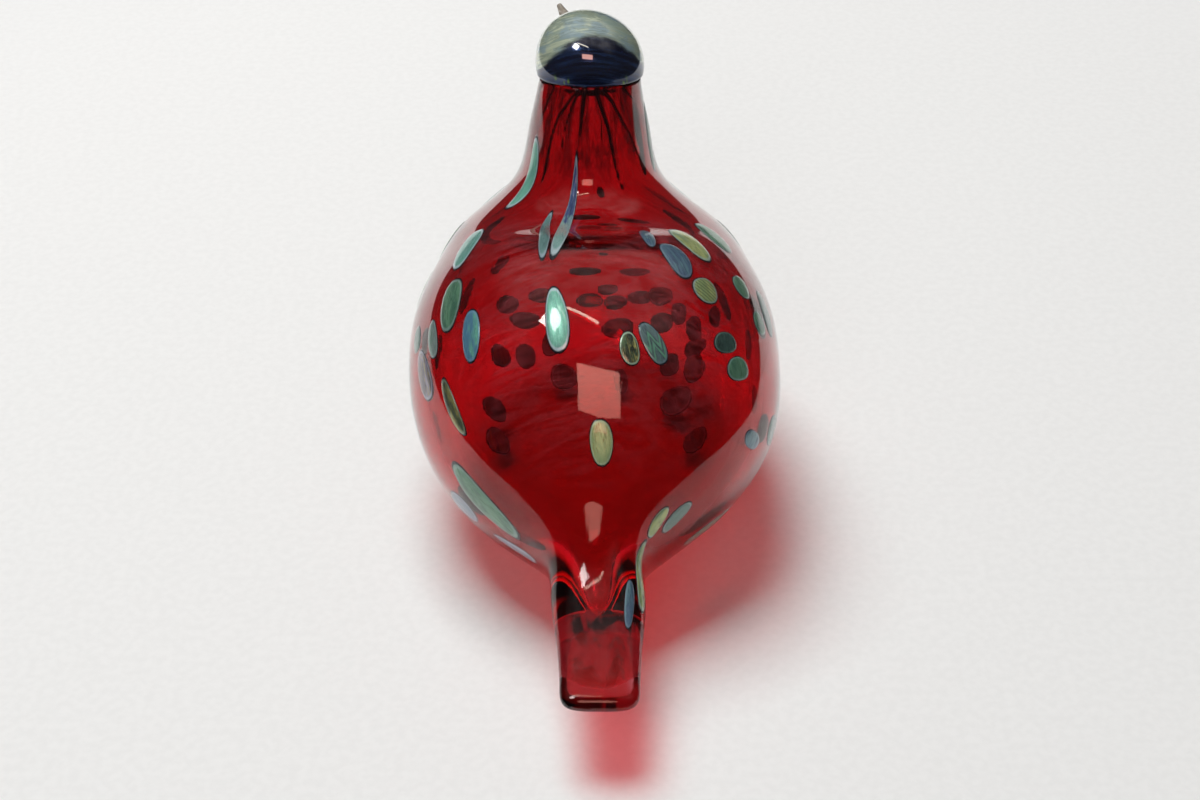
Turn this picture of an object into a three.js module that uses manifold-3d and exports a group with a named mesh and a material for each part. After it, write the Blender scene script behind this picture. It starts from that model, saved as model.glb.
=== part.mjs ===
// A blown glass bird with oval spots pressed into its skin, in millimetres.
// It rests on Z = 0 on the flat ground under its belly, which holds the origin. It faces -Y, and its left is +X.

import * as THREE from "three";
import { mergeVertices } from "three/addons/utils/BufferGeometryUtils.js";
import Module from "manifold-3d";

const wasm = await Module();
wasm.setup();

// Driving dimensions of the body, the neck and the tail
const BODY_LENGTH = 140; // from the breast to the root of the tail
const BODY_HEIGHT = 94; // from the foot to the top of the back
const BODY_WIDTH = 110;
const NECK_LENGTH = 25; // from the top of the back to the neck's mouth
const NECK_WIDTH = 32;
const NECK_SETBACK = 34; // from the breast to the neck's middle
const TAIL_LENGTH = 54;
const TAIL_WIDTH = 21;
const TAIL_THICKNESS = 7.8;
const TAIL_HEIGHT = 22.7; // from the foot to the middle of the tail's end
const TAIL_ROUND = 8.5; // how far the tail's end is rounded
const SIDE_LEAN = 1.5; // how far the hand-made form leans to its left at the neck and to its right at the tail

// Walls, and the seam that parts one layer of glass from the next
const CASING_WALL = 2.4;
const LINING_WALL = 2;
const SEAM = 0.3;
const BUBBLE_DEPTH = CASING_WALL + SEAM + LINING_WALL;

// Head and beak
const HEAD_WIDTH = 31.6;
const HEAD_HEIGHT = 19.5; // from the neck's mouth to the crown
const HEAD_RISE = 4.4; // from the neck's mouth to the widest part of the head
const HEAD_LEAN = 1.6; // how far the crown leans to the bird's left
const HEAD_RIM_ROUND = 1.3;
const PLUG_DEPTH = 3.5;
const PLUG_ROUND = 1;
const BEAK_REACH = 27; // from the middle of the head to the beak's tip
const BEAK_BASE = 8.2;
const BEAK_TIP = 1.8;
const BEAK_FLARE = 1.25;
const BEAK_SUNK = 3; // how far the beak's root starts inside the head, before it is cut to its seat
const BEAK_SIDE_ANGLE = 21; // degrees to the bird's left
const BEAK_RISE_ANGLE = 13; // degrees up

// Spots
const SPOT_THICKNESS = 1.1;
const SPOT_CROWN = 0.35; // how far the middle of a spot stands over its edge
const SPOT_LENGTH = 18; // the spots' lengths and widths are shares of these
const SPOT_WIDTH = 6;
const SPOT_FULLNESS = 0.85; // below 1 is fuller than an ellipse
const LONG_SPOT = 25; // a spot longer than this has more rows

// Fineness of the surfaces
const SKIN_SIDES = 28;
const CAVITY_SIDES = 20;
const BUBBLE_SIDES = 18;
const LATHE_SIDES = 24;
const BEAK_SIDES = 14;
const SKIN_STEP = 0.5; // in stations
const CAVITY_STEP = 0.8;
const TAIL_CAVITY_STEP = 0.4;
const BUBBLE_STEP = 0.9;
const TIP_SHARES = [0.3, 0.55, 0.78, 0.94]; // through the rounded end of the tail
const CORE_END_SHARES = [0.5, 0.85]; // through the rounded end of the core
const BUBBLE_LAST = 0.03; // stations between the bubble's last ring and its point
const CUT_CLEAR = 1; // how far a cut runs past the surface that it opens

// Stations: cross-sections along the bird, numbered from the neck's mouth at 0 to the end of the tail.
// Each has a point on the back, a point on the breast or belly, half its width, how square it is, its twist in
// degrees and its lean to the side.
const percent = (share, whole) => (share / 100) * whole;

function neckStation(backY, backZ, breastY, breastZ, width, lean) {
  const y = (share) => NECK_SETBACK - BODY_LENGTH / 2 + percent(share, NECK_WIDTH / 2);
  const z = (share) => percent(share, NECK_LENGTH) + BODY_HEIGHT;
  return {
    back: [y(backY), z(backZ)],
    breast: [y(breastY), z(breastZ)],
    half: percent(width, NECK_WIDTH / 2),
    square: 2,
    twist: 0,
    lean: percent(lean, SIDE_LEAN),
  };
}

function bodyStation(backY, backZ, breastY, breastZ, width, twist, lean) {
  const y = (share) => percent(share, BODY_LENGTH / 2);
  const z = (share) => percent(share, BODY_HEIGHT);
  return {
    back: [y(backY), z(backZ)],
    breast: [y(breastY), z(breastZ)],
    half: percent(width, BODY_WIDTH / 2),
    square: 2,
    twist,
    lean: percent(lean, SIDE_LEAN),
  };
}

function tailStation(backY, bellyY, height, thickness, width, square, twist, lean) {
  const y = (share) => BODY_LENGTH / 2 + percent(share, TAIL_LENGTH - TAIL_ROUND);
  const middle = percent(height, TAIL_HEIGHT);
  const half = percent(thickness, TAIL_THICKNESS / 2);
  return {
    back: [y(backY), middle + half],
    breast: [y(bellyY), middle - half],
    half: percent(width, TAIL_WIDTH / 2),
    square,
    twist,
    lean: percent(lean, SIDE_LEAN),
  };
}

const STATIONS = [
  neckStation(81, 106, -91, 76, 92, 67),
  neckStation(91, 80, -106, 40, 100, 93),
  neckStation(100, 46, -134, -4, 113, 93),
  neckStation(119, 8, -172, -52, 122, 93),
  bodyStation(-15, 94.7, -98.6, 71.3, 41.8, 0, 107),
  bodyStation(0, 94.1, -102, 52.1, 72.7, 0, 47),
  bodyStation(15.7, 100, -93, 28.7, 84, 0, 0),
  bodyStation(33, 101.6, -64.3, 5.9, 98.5, -1, 0),
  bodyStation(53, 95.2, -20, -2.8, 100.7, -3.5, 0),
  bodyStation(74.3, 80.9, 28.6, -2.6, 94.5, -7, -80),
  bodyStation(94.3, 62.2, 70, 2.8, 66.5, -9, -53),
  tailStation(17.6, -2.2, 120, 430, 110.5, 2.1, -9, -27),
  tailStation(41.8, 33, 115.6, 224, 128.6, 2.3, -4.5, -100),
  tailStation(70.3, 68.1, 104.8, 133, 107.6, 2.5, -1, -120),
  tailStation(100, 100, 100, 100, 100, 2.6, 0, -120),
];
const LAST = STATIONS.length - 1;
const TAIL_ROOT = LAST - 4;

// The offsets into the glass follow the skin's normals between these stations, and the sections beyond them
const NORMALS_FROM = [0.5, 2];
const NORMALS_TO = [LAST - 3.2, LAST - 2.2];

// The red core rounds off over the last half station, and the bubble narrows to a point in the root of the tail
const CORE_ROUNDS = LAST - 0.5;
const BUBBLE_NARROWS = LAST - 3.7;
const BUBBLE_ENDS = LAST - 1.5;

// Colours of the glass
const GLASS = {
  clear: 0xd9d4d6,
  ruby: 0x8a0a12,
  head: 0x2c3a5e,
  beak: 0x8a6a4c,
  teal: 0x3f7f80,
  green: 0x3f7350,
  moss: 0x78804a,
  blue: 0x5577a0,
  grey: 0x8e98a4,
  lilac: 0xb4b2c8,
  violet: 0x6a6288,
  bronze: 0x5d4c34,
};

// Spots that show from behind and above: station, degrees round from the back towards the bird's left,
// length and width in percent, turn towards the bird's left in degrees, taper towards the neck, and colour
const UPPER_SPOTS = [
  [3.3, 55, 140, 95, -5, 0.2, "teal"],
  [4.95, 11, 275, 60, 0, 0.5, "teal"],
  [5.75, 17.5, 185, 55, -10, 0.1, "grey"],
  [6.1, 50, 120, 130, -10, 0, "teal"],
  [7.55, 45, 100, 145, 0, 0, "green"],
  [8, 53, 70, 85, -10, 0, "grey"],
  [8.2, 35, 90, 105, 0, 0, "blue"],
  [8.2, 7, 105, 115, -10, 0.2, "teal"],
  [7.8, 65, 50, 105, -5, 0, "grey"],
  [8.4, 60, 95, 130, -10, 0, "violet"],
  [9, 48, 100, 75, -5, 0, "bronze"],
  [10.1, 66, 160, 140, 10, 0, "green"],
  [9.85, 85, 70, 145, 5, 0, "lilac"],
  [10.6, 91, 100, 70, 0, 0, "lilac"],
  [9.85, -9, 75, 105, -10, 0, "moss"],
  [8.65, -15, 55, 90, -20, 0, "bronze"],
  [8.55, -22, 75, 95, -35, 0, "teal"],
  [6, -19.5, 75, 70, 0, 0, "blue"],
  [6.85, -27.5, 80, 140, -25, 0, "blue"],
  [6.1, -36, 100, 150, -15, 0, "moss"],
  [7.5, -37, 50, 140, -25, 0, "moss"],
  [5.65, -54, 85, 150, -5, 0, "green"],
  [7.15, -53, 45, 125, -30, 0, "green"],
  [7.7, -62, 40, 120, -50, 0, "green"],
  [7.4, -68, 80, 135, -25, 0, "grey"],
  [8.3, -46, 35, 145, -25, 0, "green"],
  [8.6, -53, 40, 145, -35, 0, "green"],
  [9.3, -75, 30, 140, -20, 0, "blue"],
  [8.95, -87, 50, 135, -35, 0, "grey"],
  [10.7, -64, 55, 70, -15, 0, "green"],
  [11.75, -68, 125, 70, 0, 0.2, "moss"],
  [12.45, -39, 80, 50, 5, 0, "blue"],
  [10.5, -74, 65, 80, -10, 0, "grey"],
  [10.1, -112, 110, 100, 0, 0, "green"],
  [2.2, -77, 125, 80, 10, 0, "grey"],
];

// Spots round the breast and the lower flanks
const LOWER_SPOTS = [
  [4.6, 103, 95, 85, 0, 0, "teal"],
  [5.6, 85, 95, 100, 0, 0, "green"],
  [6.3, 111, 85, 115, 0, 0, "teal"],
  [7.05, 141, 45, 150, 0, 0, "moss"],
  [7, 152, 53, 120, 0, 0, "green"],
  [6.53, 150, 35, 200, 0, 0, "grey"],
  [7.22, 167, 58, 150, 0, 0, "teal"],
  [7.8, 139, 56, 165, 0, 0, "green"],
  [8.25, 139, 65, 165, 0, 0, "moss"],
  [5.64, 176, 32, 200, 0, 0, "teal"],
  [6.59, -171, 41, 195, 0, 0, "green"],
  [5.67, -160, 30, 190, 0, 0, "grey"],
  [6.17, -150, 42, 180, 0, 0, "teal"],
  [6.55, -152, 39, 165, 0, 0, "green"],
  [6.7, -137, 56, 130, 0, 0, "blue"],
  [7.22, -141.5, 61, 165, 0, 0, "moss"],
  [7.62, -152, 70, 205, 0, 0, "teal"],
  [8.27, -146, 65, 165, 0, 0, "lilac"],
  [6.4, -113, 85, 115, 0, 0, "green"],
  [5.5, -88, 95, 100, 0, 0, "grey"],
  [4.4, -107, 110, 75, 0, 0, "teal"],
];

const degrees = THREE.MathUtils.degToRad;
const ease = THREE.MathUtils.smoothstep;
const range = (count) => Array.from({ length: count }, (_, i) => i);
const steps = (from, to, step) => {
  const count = Math.max(1, Math.round((to - from) / step));
  return range(count + 1).map((i) => from + ((to - from) * i) / count);
};

// Uniform cubic B-spline through the stations of one value, level with its first and last
function blend(value, station) {
  const at = (i) => {
    if (i < 0) return 2 * value(STATIONS[0]) - value(STATIONS[1]);
    if (i > LAST) return 2 * value(STATIONS[LAST]) - value(STATIONS[LAST - 1]);
    return value(STATIONS[i]);
  };
  const i = Math.min(Math.floor(station), LAST - 1);
  const u = station - i;
  const weights = [(1 - u) ** 3, 3 * u ** 3 - 6 * u ** 2 + 4, -3 * u ** 3 + 3 * u ** 2 + 3 * u + 1, u ** 3];
  return weights.reduce((sum, weight, k) => sum + (weight * at(i - 1 + k)) / 6, 0);
}

// Cross-section at a station: its middle, its up direction, and its half sizes. Past the last station the
// tail's end rounds off.
function section(station) {
  const inside = Math.min(station, LAST);
  const back = new THREE.Vector3(0, blend((s) => s.back[0], inside), blend((s) => s.back[1], inside));
  const breast = new THREE.Vector3(0, blend((s) => s.breast[0], inside), blend((s) => s.breast[1], inside));
  const round = Math.sin(((station - inside) * Math.PI) / 2);
  const middle = back.clone().add(breast).multiplyScalar(0.5);
  middle.x = blend((s) => s.lean, inside);
  middle.addScaledVector(TAIL_DIRECTION, round * TAIL_ROUND);
  return {
    middle,
    up: back.clone().sub(breast).normalize(),
    halfHeight: (back.distanceTo(breast) / 2) * Math.sqrt(1 - round ** 2),
    halfWidth: blend((s) => s.half, inside) * (1 - round ** 4) ** 0.25,
    square: blend((s) => s.square, inside),
    twist: degrees(blend((s) => s.twist, inside)),
  };
}

const TAIL_DIRECTION = new THREE.Vector3(
  0,
  STATIONS[LAST].back[0] - STATIONS[LAST - 1].back[0] + STATIONS[LAST].breast[0] - STATIONS[LAST - 1].breast[0],
  STATIONS[LAST].back[1] - STATIONS[LAST - 1].back[1] + STATIONS[LAST].breast[1] - STATIONS[LAST - 1].breast[1],
).normalize();

// Point of a section that is drawn in by a depth on all sides
function sectionPoint(at, around, depth = 0) {
  const power = (value) => Math.sign(value) * Math.abs(value) ** (2 / at.square);
  const rise = (at.halfHeight - depth) * power(Math.cos(degrees(around)));
  const side = (at.halfWidth - depth) * power(Math.sin(degrees(around)));
  const x = side * Math.cos(at.twist) - rise * Math.sin(at.twist);
  const along = side * Math.sin(at.twist) + rise * Math.cos(at.twist);
  return at.middle.clone().addScaledVector(at.up, along).add(new THREE.Vector3(x, 0, 0));
}

const skinPoint = (station, around) => sectionPoint(section(station), around);

// Where a place is on the skin, and the directions there: to the tail, round to the left, and out
function frameAt(station, around) {
  const ds = 1e-3;
  const da = 0.1;
  const from = Math.max(station - ds, 0);
  const point = skinPoint(station, around);
  const perStation = skinPoint(station + ds, around).sub(skinPoint(from, around)).divideScalar(station + ds - from);
  const perDegree = skinPoint(station, around + da).sub(skinPoint(station, around - da)).divideScalar(2 * da);
  const out = perDegree.clone().cross(perStation).normalize();
  const tailward = perStation.clone().normalize();
  const leftward = tailward.clone().cross(out).normalize();
  return { point, perStation, perDegree, out, tailward, leftward };
}

// Place reached by walking over the skin, with a heading in radians from the tail towards the bird's left
function walk([station, around], heading, distance, count = 4) {
  for (let i = 0; i < count; i++) {
    const at = frameAt(station, around);
    const left = (Math.sin(heading) * distance) / count;
    const down = (Math.cos(heading) * distance) / count;
    const turned = left / at.perDegree.dot(at.leftward);
    around += turned;
    station += (down - turned * at.perDegree.dot(at.tailward)) / at.perStation.length();
  }
  return [station, around];
}

// Point at a depth in the glass, which stays clear of the ground flat by that depth
function insidePoint(station, around, depth) {
  const { point, out } = frameAt(station, around);
  const fromSection = sectionPoint(section(station), around, depth);
  const share = ease(station, ...NORMALS_FROM) * (1 - ease(station, ...NORMALS_TO));
  const inside = fromSection.lerp(point.addScaledVector(out, -depth), share);
  inside.z = Math.max(inside.z, depth);
  return inside;
}

const ringOf = (sides, pointAt) => range(sides).map((j) => pointAt((360 * j) / sides));
const middleOf = (ring) => ring.reduce((sum, p) => sum.add(p), new THREE.Vector3()).divideScalar(ring.length);

// Closed skin over rings of points. Each end closes on its pole, or on itself where its ring is a line.
function loft(rings, startPole, endPole) {
  const sides = rings[0].length;
  const points = rings.flat();
  const last = (rings.length - 1) * sides;
  const faces = [];
  range(sides).forEach((j) => {
    const next = (j + 1) % sides;
    range(rings.length - 1).forEach((i) => {
      const a = i * sides + j;
      const b = i * sides + next;
      faces.push(a, b, b + sides, a, b + sides, a + sides);
    });
    if (startPole) faces.push(points.length, next, j);
    if (endPole) faces.push(points.length + 1, last + j, last + next);
  });
  const all = startPole ? [...points, startPole, endPole] : points;
  const geometry = new THREE.BufferGeometry();
  geometry.setAttribute("position", new THREE.Float32BufferAttribute(all.flatMap((p) => p.toArray()), 3));
  geometry.setIndex(faces);
  return geometry;
}

// A geometry as a solid that can be cut and joined
function solidOf(geometry) {
  const bare = geometry.clone();
  bare.deleteAttribute("normal");
  bare.deleteAttribute("uv");
  const merged = mergeVertices(bare, 1e-4);
  const index = merged.index.array;
  const faces = [];
  for (let i = 0; i < index.length; i += 3) {
    const face = [index[i], index[i + 1], index[i + 2]];
    if (new Set(face).size === 3) faces.push(...face);
  }
  const vertProperties = new Float32Array(merged.attributes.position.array);
  return new wasm.Manifold(new wasm.Mesh({ numProp: 3, vertProperties, triVerts: new Uint32Array(faces) }));
}

function geometryOf(solid) {
  const mesh = solid.getMesh();
  const geometry = new THREE.BufferGeometry();
  geometry.setAttribute("position", new THREE.BufferAttribute(mesh.vertProperties, 3));
  geometry.setIndex(new THREE.BufferAttribute(mesh.triVerts, 1));
  const faceted = geometry.toNonIndexed();
  faceted.computeVertexNormals();
  return faceted;
}

// The neck's mouth: a flat section whose normal points up the neck into the head
const mouth = section(0);
const neckward = new THREE.Vector3(1, 0, 0).cross(mouth.up).normalize();

// Solid of the whole bird without its head
function skinSolid() {
  const body = steps(0, LAST, SKIN_STEP).map((s) => ringOf(SKIN_SIDES, (a) => skinPoint(s, a)));
  const tip = TIP_SHARES.map((t) => ringOf(SKIN_SIDES, (a) => skinPoint(LAST + t, a)));
  return solidOf(loft([...body, ...tip], mouth.middle, section(LAST + 1).middle));
}

// Ring of the space at a depth in the glass, which narrows to a round end at the last station
function coreRing(station, sides, depth) {
  const share = Math.max(0, (station - CORE_ROUNDS) / (LAST - CORE_ROUNDS));
  const ring = ringOf(sides, (a) => insidePoint(station, a, depth));
  const middle = middleOf(ring);
  const back = share * (depth - CASING_WALL);
  const drawnIn = 1 - Math.sqrt(1 - share ** 2);
  return ring.map((p) => p.lerp(middle, drawnIn).addScaledVector(TAIL_DIRECTION, -back));
}

// Ring of the air bubble, which narrows to a point in the root of the tail
function bubbleRing(station) {
  const share = Math.min(1, (BUBBLE_ENDS - station) / (BUBBLE_ENDS - BUBBLE_NARROWS));
  const ring = ringOf(BUBBLE_SIDES, (a) => insidePoint(station, a, BUBBLE_DEPTH));
  const middle = middleOf(ring);
  return ring.map((p) => {
    const drawn = middle.clone().lerp(p, share ** 0.35);
    drawn.x = middle.x + (p.x - middle.x) * share ** 0.6;
    return drawn;
  });
}

const raised = (ring, height) => ring.map((p) => p.clone().addScaledVector(neckward, height));

// Solid round the red core: the space that it fills in the casing, or the core itself
function coreSolid(depth, past) {
  const body = steps(0, TAIL_ROOT, CAVITY_STEP);
  const tail = steps(TAIL_ROOT, CORE_ROUNDS, TAIL_CAVITY_STEP).slice(1);
  const rounded = CORE_END_SHARES.map((share) => CORE_ROUNDS + share * (LAST - CORE_ROUNDS));
  const rings = [...body, ...tail, ...rounded].map((s) => coreRing(s, CAVITY_SIDES, depth));
  rings[0] = raised(rings[0], past);
  const end = middleOf(coreRing(LAST, CAVITY_SIDES, depth));
  return solidOf(loft(rings, middleOf(rings[0]), end));
}

function bubbleSolid() {
  const rings = steps(0, BUBBLE_ENDS - BUBBLE_LAST, BUBBLE_STEP).map((s) => bubbleRing(s));
  rings[0] = raised(rings[0], CUT_CLEAR);
  return solidOf(loft(rings, middleOf(rings[0]), middleOf(bubbleRing(BUBBLE_ENDS))));
}

// The table under the ground flat, for cutting
function tableSolid() {
  const table = new THREE.BoxGeometry(2 * BODY_WIDTH, 2 * BODY_LENGTH, BODY_HEIGHT);
  return solidOf(table.translate(0, 0, -BODY_HEIGHT / 2));
}

// Oval that follows the skin, grown on all sides, from a depth in the glass to a height over it
function ovalSolid(spot, grow, height, depth) {
  const rows = spot.length > LONG_SPOT ? 8 : 6;
  const heading = degrees(spot.turn);
  const rings = range(rows + 1).map((i) => {
    const angle = (Math.PI * i) / rows;
    const along = -(spot.length / 2 + grow) * Math.cos(angle);
    const fullness = Math.sin(angle) < 1e-6 ? 0 : Math.sin(angle) ** SPOT_FULLNESS;
    const half = (spot.width / 2 + grow) * fullness * (1 - spot.taper * Math.cos(angle));
    const spine = walk([spot.station, spot.around], heading, along);
    const across = [-half, 0, half].map((side) => frameAt(...walk(spine, heading + Math.PI / 2, side, 2)));
    const crown = SPOT_CROWN * fullness;
    const top = across.map((at, k) => at.point.clone().addScaledVector(at.out, height + (k === 1 ? crown : 0)));
    const bottom = across.map((at) => at.point.clone().addScaledVector(at.out, -depth));
    return [...top, ...bottom.reverse()];
  });
  return solidOf(loft(rings));
}

const spots = [...UPPER_SPOTS, ...LOWER_SPOTS].map(([station, around, length, width, turn, taper, colour]) => ({
  station,
  around,
  length: percent(length, SPOT_LENGTH),
  width: percent(width, SPOT_WIDTH),
  turn,
  taper,
  colour,
}));

// Clear casing, with the space for the core, the ground flat and a pocket for each spot cut out of it
function casingSolid() {
  const hollow = skinSolid().subtract(coreSolid(CASING_WALL, CUT_CLEAR)).subtract(tableSolid());
  const pocket = (spot) => ovalSolid(spot, SEAM, CUT_CLEAR, SPOT_THICKNESS + SEAM);
  return spots.reduce((casing, spot) => casing.subtract(pocket(spot)), hollow);
}

const liningSolid = () => coreSolid(CASING_WALL + SEAM, 0).subtract(bubbleSolid());

// Head: a drop of glass turned about the neck, with a plug in the neck's bore and a rolled rim over its mouth
function headSolid(grow = 0) {
  const bore = mouth.halfHeight - BUBBLE_DEPTH;
  const plug = bore - SEAM;
  const side = HEAD_WIDTH / 2 + grow;
  const crown = HEAD_HEIGHT - HEAD_RISE + grow;
  const seat = SEAM - grow;
  const rimAngle = Math.asin((seat + HEAD_RIM_ROUND - HEAD_RISE) / crown);
  const rimSide = side * Math.cos(rimAngle);
  const rim = [0, 30, 60].map(degrees).map((angle) => [
    rimSide - HEAD_RIM_ROUND * (1 - Math.sin(angle)),
    seat + HEAD_RIM_ROUND * (1 - Math.cos(angle)),
  ]);
  const dome = steps(rimAngle, Math.PI / 2, degrees(12)).map((angle) => [
    side * Math.max(0, Math.cos(angle)),
    HEAD_RISE + crown * Math.sin(angle),
  ]);
  const profile = [
    [0, -PLUG_DEPTH],
    [plug - PLUG_ROUND, -PLUG_DEPTH],
    [plug - PLUG_ROUND / 4, PLUG_ROUND - PLUG_DEPTH],
    [plug, seat],
    ...rim,
    ...dome.slice(0, -1),
    [0, HEAD_RISE + crown],
  ];
  const turned = new THREE.LatheGeometry(profile.map(([x, y]) => new THREE.Vector2(x, y)), LATHE_SIDES);
  const place = turned.getAttribute("position");
  range(place.count).forEach((i) => {
    const lean = HEAD_LEAN * Math.max(0, place.getY(i) / HEAD_HEIGHT) ** 2;
    place.setX(i, place.getX(i) + lean);
  });
  return solidOf(turned);
}

// Beak: a short cone drawn out of the head, cut to seat on it
function beakSolid(headTurn) {
  const side = degrees(BEAK_SIDE_ANGLE);
  const rise = degrees(BEAK_RISE_ANGLE);
  const ahead = new THREE.Vector3(
    Math.sin(side) * Math.cos(rise),
    -Math.cos(side) * Math.cos(rise),
    Math.sin(rise),
  );
  ahead.applyQuaternion(headTurn.clone().invert());
  const root = HEAD_WIDTH / 2 - BEAK_SUNK;
  const tip = BEAK_TIP / 2;
  const cone = steps(0, 1, 0.2).map((share) => [
    tip + (BEAK_BASE / 2 - tip) * (1 - share) ** BEAK_FLARE,
    root + share * (BEAK_REACH - tip - root),
  ]);
  const end = [30, 60].map(degrees).map((angle) => [
    tip * Math.cos(angle),
    BEAK_REACH - tip + tip * Math.sin(angle),
  ]);
  const profile = [[0, root], ...cone, ...end, [0, BEAK_REACH]];
  const turned = new THREE.LatheGeometry(profile.map(([x, y]) => new THREE.Vector2(x, y)), BEAK_SIDES);
  turned.applyQuaternion(new THREE.Quaternion().setFromUnitVectors(new THREE.Vector3(0, 1, 0), ahead));
  turned.translate(0, HEAD_RISE, 0);
  return solidOf(turned).subtract(headSolid(SEAM));
}

// The assembly
const bird = new THREE.Group();

function addPiece(parent, name, solid, colour, roughness = 0.05) {
  const material = new THREE.MeshStandardMaterial({ color: GLASS[colour], roughness, metalness: 0 });
  const mesh = new THREE.Mesh(geometryOf(solid), material);
  mesh.name = name;
  parent.add(mesh);
  return mesh;
}

const casing = addPiece(bird, "glass_casing", casingSolid(), "clear");
casing.material.transparent = true;
casing.material.opacity = 0.35;
addPiece(bird, "ruby_lining", liningSolid(), "ruby");

const head = new THREE.Group();
head.position.copy(mouth.middle);
head.quaternion.setFromUnitVectors(new THREE.Vector3(0, 1, 0), neckward);
addPiece(head, "head_gather", headSolid(), "head", 0.15);
addPiece(head, "beak", beakSolid(head.quaternion), "beak", 0.15);
bird.add(head);

spots.forEach((spot, i) => {
  const name = `spot_${String(i + 1).padStart(2, "0")}`;
  addPiece(bird, name, ovalSolid(spot, 0, 0, SPOT_THICKNESS), spot.colour, 0.15);
});

export default bird;
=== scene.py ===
# A blown glass bird: a clear skin over a ruby one round an air bubble, with oval glass chips pressed
# into it and a metal-blue head. Sizes are in millimetres until a mesh is made.

import math

import bpy
import numpy as np
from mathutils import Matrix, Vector


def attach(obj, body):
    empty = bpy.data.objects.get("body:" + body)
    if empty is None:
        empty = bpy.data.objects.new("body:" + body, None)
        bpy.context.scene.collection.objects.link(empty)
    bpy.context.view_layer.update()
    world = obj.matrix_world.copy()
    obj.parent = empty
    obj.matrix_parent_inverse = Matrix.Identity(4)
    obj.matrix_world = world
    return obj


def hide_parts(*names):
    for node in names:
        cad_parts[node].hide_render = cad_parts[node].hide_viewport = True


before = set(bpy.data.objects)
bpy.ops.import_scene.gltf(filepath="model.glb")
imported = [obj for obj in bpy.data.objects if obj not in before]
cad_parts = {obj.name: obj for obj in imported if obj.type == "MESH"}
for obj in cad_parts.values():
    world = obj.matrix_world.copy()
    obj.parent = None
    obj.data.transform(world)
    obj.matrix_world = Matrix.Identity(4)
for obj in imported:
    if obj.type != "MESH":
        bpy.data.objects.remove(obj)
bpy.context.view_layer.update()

MM = 0.001

# Form of the glass

# Cross-sections from the neck's mouth to the end of the tail: the back's y and z, the breast's y and z,
# half the width, how square it is, its twist in degrees and its lean to the side
STATIONS = np.array([
    (-23.04, 120.5, -50.56, 113, 14.72, 2, 0, 1.01),
    (-21.44, 114, -52.96, 104, 16, 2, 0, 1.4),
    (-20, 105.5, -57.44, 93, 18.08, 2, 0, 1.4),
    (-16.96, 96, -63.52, 81, 19.52, 2, 0, 1.4),
    (-10.5, 89.02, -69.02, 67.02, 22.99, 2, 0, 1.6),
    (0, 88.45, -71.4, 48.97, 39.98, 2, 0, 0.7),
    (10.99, 94, -65.1, 26.98, 46.2, 2, 0, 0),
    (23.1, 95.5, -45.01, 5.55, 54.17, 2, -1, 0),
    (37.1, 89.49, -14, -2.63, 55.39, 2, -3.5, 0),
    (52.01, 76.05, 20.02, -2.44, 51.97, 2, -7, -1.2),
    (66.01, 58.47, 49, 2.63, 36.58, 2, -9, -0.8),
    (78.01, 44.01, 69, 10.47, 11.6, 2.1, -9, -0.41),
    (89.02, 34.98, 85.02, 17.51, 13.5, 2.3, -4.5, -1.5),
    (101.99, 28.98, 100.99, 18.6, 11.3, 2.5, -1, -1.8),
    (115.5, 26.6, 115.5, 18.8, 10.5, 2.6, 0, -1.8),
])
LAST = len(STATIONS) - 1
TAIL_ROUND = 8.5
FLAT_EDGE = 0.6  # how softly the ground flat meets the belly

RUBY_DEPTH = 2.4
BUBBLE_DEPTH = 4.7
BUBBLE_GAP = 0.05
NORMALS_FROM = (0.5, 2)
NORMALS_TO = (LAST - 3.2, LAST - 2.2)
CORE_ROUNDS = LAST - 0.5
BUBBLE_NARROWS = LAST - 3.7
BUBBLE_ENDS = LAST - 1.52
TAIL_RUBY_DEPTH = 0.5
RUBY_FILLS = (LAST - 1.8, LAST - 1.1)  # where the ruby comes out to fill the tail
CLOSE_DEPTH, CLOSE_ENDS = 3.5, LAST - 1.36
RUBY_CLOSES = (LAST - 3.8, LAST - 2.8)  # where it goes in to lie close on the bubble, and comes out again
RUBY_OPENS = (LAST - 1.62, LAST - 1.42)

# Creases that the pulled neck leaves on the bubble, as (station, degrees round from the back) along
# each one, with its width in millimetres
NECK_CREASES = [
    ([(0, 12), (0.5, 26), (1.26, 41.5), (2.12, 49), (2.94, 50.5), (3.5, 51)], 0.55),
    ([(0, 13), (0.5, 20), (0.83, 24), (1.85, 31.5), (2.5, 33)], 0.4),
    ([(0.2, 8), (1.14, 9.5), (1.95, 11.5), (2.7, 12.5)], 0.8),
    ([(0, -8), (0.35, -12), (0.97, -18.5), (1.67, -25), (2.48, -29), (3.5, -34.5)], 0.75),
    ([(0, -14), (0.3, -24), (0.64, -33.5), (1.39, -44), (2.1, -55.5), (2.6, -60)], 0.8),
    ([(0, -50), (0.69, -70.5), (1.3, -78)], 0.8),
    ([(0, 58), (0.8, 66), (2, 72)], 0.6),
    ([(0, 96), (1.1, 92), (2.6, 97)], 0.7),
    ([(0, 120), (0.9, 127), (2.2, 126)], 0.6),
    ([(0, 150), (1.3, 146), (2.9, 149)], 0.7),
    ([(0, 171), (0.8, 175), (2, 174)], 0.6),
    ([(0, -164), (1.2, -160), (2.7, -163)], 0.7),
    ([(0, -132), (0.9, -138), (2.1, -137)], 0.6),
    ([(0, -104), (1.2, -108), (2.5, -106)], 0.7),
]
CREASE_HEIGHT = 0.9
CREASE_START = 1.15  # how wide a crease starts, as a share of its width, from which it thins by 1
PER_STATION, PER_DEGREE = 8.5, 0.27  # rough millimetres on the neck's skin, for the distance to a crease


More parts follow.
